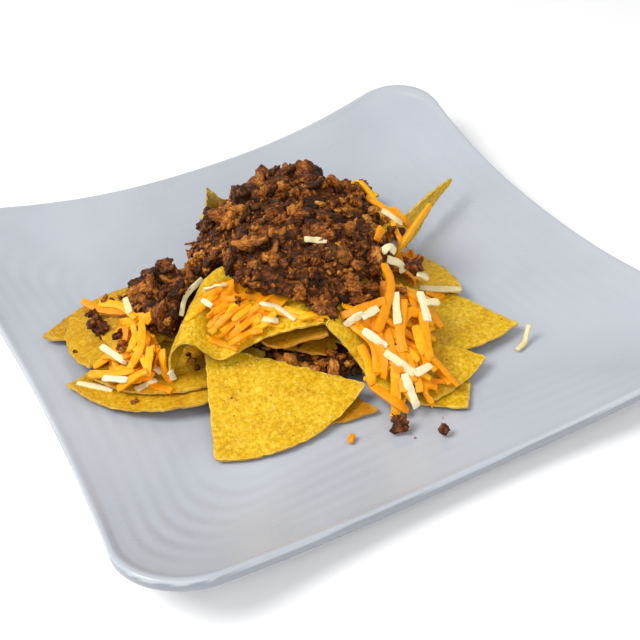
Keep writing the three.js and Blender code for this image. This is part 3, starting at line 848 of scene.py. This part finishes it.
cheeseBeds = [
    makeCheeseBed(node, node.replace("cheese_", "cheddarBed_"), cheddar, cheeseBed["sunk"])
    for node in cheeseNodes
]
looseCheese = [
    makeCheeseBed("cheese_loose_front", "cheddarLoose", cheddar, 0.1),
    makeCheeseBed("cheese_loose_right", "jackLoose", jack, 0.1),
]
standing = joinTree(
    [platePiece, *chipPieces, *beefCores, *loosePieces, *crumbPieces[:2], *cheeseBeds]
)

shredBar = {"cuts": 9, "bevel": 0.15, "samples": 28}


def shapeShred():
    # a straight strip of unit length and section, modelled once
    bpy.ops.mesh.primitive_cube_add(size=1, location=(0.5, 0, 0))
    bar = bpy.context.object
    bpy.ops.object.transform_apply(location=True, rotation=False, scale=False)
    edit()
    bpy.ops.mesh.select_mode(type="EDGE")
    mesh = bmesh.from_edit_mesh(bar.data)
    for edge in mesh.edges:
        edge.select = abs(edge.verts[0].co.x - edge.verts[1].co.x) > 0.5
    bmesh.update_edit_mesh(bar.data)
    bpy.ops.mesh.subdivide(number_cuts=shredBar["cuts"])
    bpy.ops.mesh.select_all(action="DESELECT")
    mesh = bmesh.from_edit_mesh(bar.data)
    for edge in mesh.edges:
        edge.select = abs(edge.verts[0].co.x - edge.verts[1].co.x) > 0.01
    bmesh.update_edit_mesh(bar.data)
    bpy.ops.mesh.bevel(offset=shredBar["bevel"], segments=1)
    bpy.ops.mesh.select_mode(type="VERT")
    leaveEdit()
    points = readPoints(bar)
    faces = [tuple(face.vertices) for face in bar.data.polygons]
    bpy.data.objects.remove(bar)
    return points, faces


shredPoints, shredFaces = shapeShred()


class Laid:
    # every strip laid so far, so that the next one lies over it
    def __init__(self):
        self.points, self.faces = [], []
        self.tree = None

    def add(self, points, faces):
        start = len(self.points)
        self.points += [Vector(point) for point in points]
        self.faces += [[v + start for v in face] for face in faces]
        self.tree = BVHTree.FromPolygons(self.points, self.faces)

    def meet(self, origin, way):
        # nearest thing on the way: distance and its normal
        _, normal, _, distance = standing.ray_cast(origin, way)
        if self.tree:
            _, _, _, over = self.tree.ray_cast(origin, way)
            if over is not None and (distance is None or over < distance):
                return over, normal or Vector((0, 0, 1))
        return distance, normal


laid = Laid()


def smoothPath(path, samples):
    # even samples of a smooth curve through a few points
    path = np.array(path, float)
    if len(path) == 2:
        share = np.linspace(0, 1, samples)[:, None]
        return path[0] * (1 - share) + path[1] * share
    padded = np.vstack([2 * path[0] - path[1], path, 2 * path[-1] - path[-2]])
    made = []
    for t in np.linspace(0, len(path) - 1, samples):
        i = min(int(t), len(path) - 2)
        u = t - i
        a, b, c, d = padded[i : i + 4]
        bent = (c - a) * u + (2 * a - 5 * b + 4 * c - d) * u**2 + (3 * b - a - 3 * c + d) * u**3
        made.append(0.5 * (2 * b + bent))
    return np.array(made)


def fromAbove(path):
    # rays straight down over a path of [x, y] in millimetres
    flat = smoothPath(path, shredBar["samples"])
    return [(Vector((x * mm, y * mm, 0.2)), Vector((0, 0, -1))) for x, y in flat]


def fromPhoto(path):
    # rays through the picture's pixels
    return [(cameraPlace, photoRay(spot)) for spot in smoothPath(path, shredBar["samples"])]


def evened(values, passes):
    for _ in range(passes):
        values = np.concatenate([values[:1], (values[:-2] + 2 * values[1:-1] + values[2:]) / 4, values[-1:]])
    return values


class ShredPile:
    # all shreds of one cheese, joined in one mesh
    def __init__(self, seed):
        self.dice = random.Random(seed)
        self.points, self.faces, self.tones = [], [], []
        self.count = 0

    def lay(self, rays, width=3.0, height=1.7, slope=0.7, twist=0.3):
        dice = self.dice
        met = [laid.meet(*ray) for ray in rays]
        if any(distance is None for distance, _ in met):
            return
        far = np.array([distance for distance, _ in met])
        origins = np.array([ray[0] for ray in rays])
        ways = np.array([ray[1] for ray in rays])
        spots = origins + ways * far.min()
        steps = np.linalg.norm(np.diff(spots, axis=0), axis=1)
        along = np.concatenate([[0], np.cumsum(steps)])
        reach = np.abs(along[:, None] - along[None, :])
        near = (far[None, :] + slope * reach).min(axis=1)
        near = evened(near, 6) - height * 0.42 * mm
        line = origins + ways * near[:, None]
        normal = np.mean([np.array(n) for _, n in met], axis=0) - ways.mean(axis=0) * 0.35
        tangents = np.gradient(line, axis=0)
        tangents /= np.linalg.norm(tangents, axis=1)[:, None]
        side = np.cross(normal, tangents)
        side /= np.linalg.norm(side, axis=1)[:, None]
        up = np.cross(tangents, side)
        where = shredPoints[:, 0] * (len(line) - 1)
        low = np.minimum(where.astype(int), len(line) - 2)
        share = (where - low)[:, None]

        def between(values):
            return values[low] * (1 - share) + values[low + 1] * share

        u = shredPoints[:, 0]
        ends = 1 - dice.uniform(0.02, 0.3) * np.abs(2 * u - 1) ** dice.uniform(8, 16)
        swell = 1 + 0.09 * np.sin(u * dice.uniform(4, 11) + dice.uniform(0, 6))
        swell += 0.06 * np.sin(u * dice.uniform(18, 34) + 2 * shredPoints[:, 1])
        turn = dice.uniform(-twist, twist) + dice.uniform(-twist, twist) * u
        y = shredPoints[:, 1] * width * ends * swell * mm
        z = shredPoints[:, 2] * height * ends * mm
        across = y * np.cos(turn) - z * np.sin(turn)
        raised = y * np.sin(turn) + z * np.cos(turn)
        made = between(line) + between(side) * across[:, None] + between(up) * raised[:, None]
        self.points.append(made)
        self.faces += [tuple(v + self.count for v in face) for face in shredFaces]
        self.count += len(made)
        self.tones += [dice.random()] * len(made)
        laid.add(made, shredFaces)

    def build(self, name, surface):
        piece = newPiece(name, np.concatenate(self.points), self.faces)
        writeValues(piece, "tone", self.tones)
        pick(piece)
        bpy.ops.object.shade_smooth_by_angle(angle=math.radians(50))
        finishPiece(piece, surface, "cheese")
        return piece


# strips that the picture shows, by the pixels they run through
cheddarInPicture = {
    "right": (
        ((376, 241), (382, 228)),
        ((384, 264), (391, 286), (382, 319), (376, 332)),
        ((389, 326), (407, 356), (413, 382)),
        ((352, 323), (374, 345), (378, 373)),
        ((367, 332), (383, 354), (384, 378)),
        ((398, 339), (407, 314), (420, 313)),
        ((415, 326), (424, 354)),
        ((422, 313), (430, 361)),
        ((426, 290), (443, 298)),
        ((395, 363), (396, 408), (394, 417)),
        ((371, 385), (390, 398), (408, 411)),
        ((341, 316), (362, 309), (385, 300)),
        ((404, 300), (400, 330), (404, 352)),
        ((386, 330), (392, 352), (400, 372)),
        ((360, 345), (368, 362), (372, 384)),
        ((398, 345), (404, 372), (404, 392)),
    ),
    "centre": (
        ((222, 332), (240, 318), (259, 306)),
        ((227, 339), (246, 324), (262, 315)),
        ((241, 342), (250, 330), (258, 322)),
        ((209, 339), (238, 349)),
        ((186, 320), (204, 306)),
        ((196, 312), (216, 294)),
        ((203, 298), (222, 288)),
        ((214, 312), (236, 300)),
        ((232, 320), (252, 306)),
        ((250, 338), (256, 322), (268, 318)),
        ((262, 322), (284, 326)),
        ((226, 300), (246, 296)),
        ((262, 306), (286, 314), (312, 318)),
        ((282, 308), (304, 314), (324, 319)),
        ((300, 318), (318, 314), (334, 318)),
        ((244, 334), (262, 326), (276, 312)),
        ((230, 344), (246, 334), (262, 330)),
        ((216, 326), (232, 312), (248, 302)),
    ),
    "left": (
        ((82, 301), (102, 310), (126, 313)),
        ((142, 320), (141, 346), (133, 363)),
        ((150, 347), (147, 375)),
        ((162, 350), (164, 370), (172, 382)),
        ((89, 374), (116, 374), (133, 370)),
        ((118, 389), (136, 376), (147, 371)),
        ((150, 385), (172, 391)),
        ((127, 325), (140, 316), (150, 322)),
        ((137, 332), (132, 346), (126, 350)),
        ((100, 303), (120, 306), (136, 318)),
    ),
    "back": (
        ((366, 197), (384, 208), (402, 222)),
        ((392, 208), (410, 226)),
        ((398, 250), (410, 232), (428, 208)),
        ((396, 256), (414, 228), (430, 205)),
    ),
}
jackInPicture = {
    "meat": (((304, 239), (327, 241)),),
    "right": (
        ((382, 252), (389, 247), (395, 252)),
        ((387, 259), (400, 264), (403, 272)),
        ((417, 273), (428, 278)),
        ((420, 288), (440, 289), (461, 289)),
        ((420, 292), (428, 321)),
        ((426, 302), (439, 302)),
        ((395, 293), (398, 324)),
        ((345, 325), (363, 313)),
        ((363, 330), (387, 347)),
        ((385, 352), (415, 374)),
        ((415, 374), (431, 365)),
        ((404, 374), (417, 407)),
        ((362, 317), (378, 308)),
    ),
    "centre": (
        ((181, 316), (186, 296), (202, 279)),
        ((205, 290), (225, 284)),
        ((202, 300), (212, 306)),
        ((260, 303), (278, 308), (295, 320)),
        ((263, 319), (278, 321)),
    ),
    "left": (
        ((101, 346), (127, 363)),
        ((103, 378), (127, 380)),
        ((77, 383), (113, 390)),
        ((136, 390), (156, 380)),
        ((156, 368), (161, 373)),
        ((170, 371), (174, 380)),
        ((125, 298), (130, 313)),
    ),
    "back": (((382, 210), (402, 224)),),
}

# strips laid at random underneath, patch by patch
cheddarFans = (
    {"middle": (12, -62), "spread": (11, 20), "heading": -70, "length": 26, "count": 22, "width": 3.8, "seed": 41},
    {"middle": (28, -46), "spread": (9, 10), "heading": -55, "length": 20, "count": 10, "width": 3.6, "seed": 42},
    {"middle": (49, 12), "spread": (5, 17), "heading": 75, "length": 22, "count": 14, "width": 3.2, "seed": 43},
    {"middle": (-44, -20), "spread": (15, 9), "heading": 50, "length": 20, "count": 12, "width": 2.8, "seed": 44},
    {"middle": (-99, -6), "spread": (8, 9), "heading": -30, "length": 18, "count": 12, "width": 3.3, "seed": 45},
    {"middle": (-92, 10), "spread": (3, 10), "heading": -85, "length": 16, "count": 7, "width": 3.2, "seed": 46},
)


# outline of the beef in the picture, where no strip of a fan lies
beefInPicture = (
    (165, 250), (200, 222), (222, 192), (245, 178), (276, 164), (316, 170), (352, 188), (374, 214),
    (383, 240), (384, 270), (380, 296), (360, 308), (343, 298), (336, 316), (322, 320), (306, 312),
    (290, 303), (270, 297), (258, 288), (228, 288), (222, 278), (226, 264), (206, 261), (178, 300),
)


def overBeef(line):
    # share of a path that would lie on the beef in the picture
    inside = 0
    for x, y in line:
        hit = standing.ray_cast(Vector((x * mm, y * mm, 0.2)), Vector((0, 0, -1)))[0]
        if hit is None:
            continue
        across, down = photoSpot(hit)
        within = False
        for (x1, y1), (x2, y2) in zip(beefInPicture, beefInPicture[1:] + beefInPicture[:1]):
            if (y1 > down) != (y2 > down) and across < x1 + (down - y1) * (x2 - x1) / (y2 - y1):
                within = not within
        inside += within
    return inside / len(line)


def layFan(pile, row):
    dice = random.Random(row["seed"])
    for _ in range(row["count"]):
        x = row["middle"][0] + dice.uniform(-1, 1) * row["spread"][0]
        y = row["middle"][1] + dice.uniform(-1, 1) * row["spread"][1]
        angle = math.radians(row["heading"] + dice.uniform(-45, 45))
        half = row["length"] * dice.uniform(0.6, 1.25) / 2
        bend = dice.uniform(-3.5, 3.5)
        dx, dy = math.cos(angle), math.sin(angle)
        ends = (x - dx * half, y - dy * half), (x + dx * half, y + dy * half)
        path = [ends[0], (x - dy * bend, y + dx * bend), ends[1]]
        if overBeef(path) > 0.25:
            continue
        pile.lay(fromAbove(path), dice.uniform(0.8, 1.1) * row["width"], dice.uniform(1.4, 1.9))


cheddarPile = ShredPile(61)
jackPile = ShredPile(62)
for fan in cheddarFans:
    layFan(cheddarPile, fan)
shownWidth = {"right": 4.3, "centre": 2.9, "left": 3.6, "back": 3.2, "meat": 3.2}
shownPiles = ((cheddarPile, cheddarInPicture, 1, 1.7), (jackPile, jackInPicture, 0.88, 1.2))
for pile, shown, share, height in shownPiles:
    for patch, rows in shown.items():
        for row in rows:
            pile.lay(fromPhoto(row), shownWidth[patch] * share, height)

# bits of beef that the picture shows on the cheese, the chips and the plate: pixel, size
bitsInPicture = (
    ((330, 311), 4.2), ((322, 306), 4), ((312, 303), 3.6), ((300, 299), 3.6), ((334, 303), 3.2),
    ((246, 281), 3.4), ((254, 285), 2.6), ((240, 277), 3), ((238, 302), 2.2), ((250, 292), 2),
    ((352, 300), 4), ((362, 302), 3.6), ((372, 296), 3.6), ((378, 284), 3.6), ((380, 270), 3.4),
    ((366, 290), 4), ((354, 288), 4), ((376, 256), 3.4), ((378, 244), 3.2), ((348, 280), 3.6),
    ((386, 222), 2.6), ((392, 230), 2.4), ((372, 212), 2.4), ((360, 196), 2.6),
    ((104, 300), 1.7), ((112, 300), 1.4), ((121, 299), 1.8), ((75, 352), 1.2), ((135, 402), 1.4),
    ((92, 316), 3.8), ((101, 331), 4.2), ((122, 347), 3.2), ((125, 350), 1.7),
    ((415, 438), 0.5), ((443, 418), 0.4), ((397, 419), 2.2), ((404, 430), 1.8), ((168, 322), 2.4),
    ((192, 362), 2), ((198, 368), 1.8), ((188, 355), 1.7), ((350, 364), 2.2), ((342, 358), 2.4),
    ((330, 354), 2.2), ((318, 356), 1.8), ((355, 374), 1.8), ((402, 292), 2.4), ((232, 398), 0.5),
)


def dropBits(name, rows, seed):
    dice = random.Random(seed)
    shapes = [shapeLump(4, seed + i, 0.6, (1.25, 1, 0.85)) for i in range(7)]
    points, faces, tones, own, hollow = [], [], [], [], []
    start = 0
    for spot, radius in rows:
        distance, _ = laid.meet(cameraPlace, photoRay(spot))
        shape, shapeFaces = dice.choice(shapes)
        size = radius * mm
        turn = Euler((dice.gauss(0, 0.5), dice.gauss(0, 0.5), dice.uniform(0, 2 * math.pi)))
        middle = cameraPlace + photoRay(spot) * distance + Vector((0, 0, 0.3 * size))
        lump = shape @ np.array(turn.to_matrix()).T * size + np.array(middle)
        points.append(lump)
        faces += [tuple(v + start for v in face) for face in shapeFaces]
        tones += [dice.random()] * len(shape)
        own.append(shape * size + np.array([dice.uniform(0, 1) for _ in range(3)]))
        # painted shade: darker on the lower part of each bit
        hollow.append(np.clip(0.4 - (lump[:, 2] - middle.z) / size, 0, 1) * 0.6)
        start += len(shape)
    piece = newPiece(name, np.concatenate(points), faces)
    writeValues(piece, "tone", tones)
    writeValues(piece, "hollow", np.concatenate(hollow))
    writeVectors(piece, "own", np.concatenate(own))
    pick(piece)
    bpy.ops.object.shade_smooth()
    finishPiece(piece, beef, "beef")
    return piece


bitsPiece = dropBits("beefBits", bitsInPicture, 71)
cheddarPiece = cheddarPile.build("cheddarShreds", cheddar)
jackPiece = jackPile.build("jackShreds", jack)
print("cheese laid:", len(cheddarPile.points), "and", len(jackPile.points), "strips")
